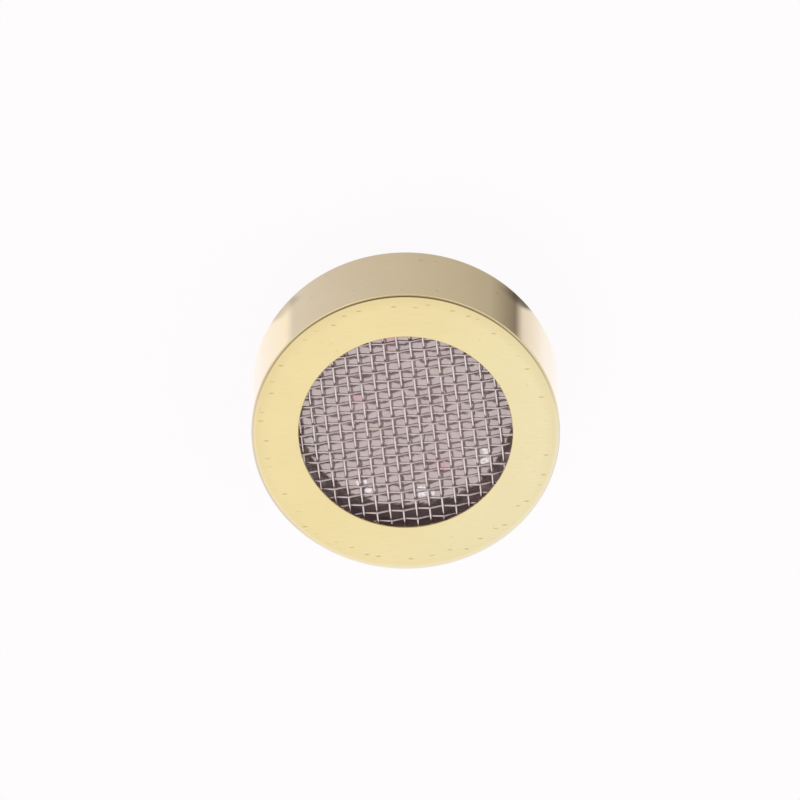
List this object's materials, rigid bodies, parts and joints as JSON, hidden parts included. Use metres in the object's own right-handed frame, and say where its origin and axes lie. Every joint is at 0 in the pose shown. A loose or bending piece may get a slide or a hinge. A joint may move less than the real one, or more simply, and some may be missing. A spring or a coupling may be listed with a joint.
{
  "type": "condenser microphone capsule",
  "caption": "Round electret condenser microphone capsule: brass cup with a wire gauze behind a round sound opening, a metallised diaphragm stack and a circuit board at the rear.",
  "frame": {"origin": "centre of the rolled rear rim's underside, on the capsule's axis", "axes": "+Z along the axis out of the front opening; +X from the output pad to the ground pad; +Y from the capacitors to the transistor"},
  "size_m": [0.016, 0.016, 0.005],
  "materials": {
    "housing_brass": "pale polished brass with a fine turned grain",
    "gauze_steel": "drawn stainless wire",
    "dark_ring": "darkened, satin",
    "inner_brass": "machined",
    "metallised_film": "mirror-bright metallised film with a grey-pink cast",
    "clear_film": "thin film",
    "holder_resin": "moulded",
    "copper": "gold-plated copper",
    "cloth": "non-woven",
    "board": "solder mask over glass board",
    "solder": "bright solder and tinned metal",
    "chip_black": "moulded",
    "chip_ceramic": "fired"
  },
  "bodies": {
    "root": {"housing": "housing_brass", "front_mesh": "gauze_steel", "diaphragm_ring": "dark_ring", "diaphragm": "metallised_film", "spacer_washer": "clear_film", "electret_film": "clear_film", "backplate": "inner_brass", "backplate_holder": "holder_resin", "gate_ring": "copper", "damping_cloth": "cloth", "circuit_board": "board", "ground_pad": "copper", "output_pad": "copper", "gate_track": "copper", "drain_track": "copper", "source_track": "copper", "output_via": "copper", "ground_via": "copper", "output_solder": "solder", "ground_solder": "solder", "fet_body": "chip_black", "fet_gate_lead": "solder", "fet_source_lead": "solder", "fet_drain_lead": "solder", "capacitor_a_body": "chip_ceramic", "capacitor_a_left_end": "solder", "capacitor_a_right_end": "solder", "capacitor_b_body": "chip_ceramic", "capacitor_b_left_end": "solder", "capacitor_b_right_end": "solder"}
  },
  "joints": []
}
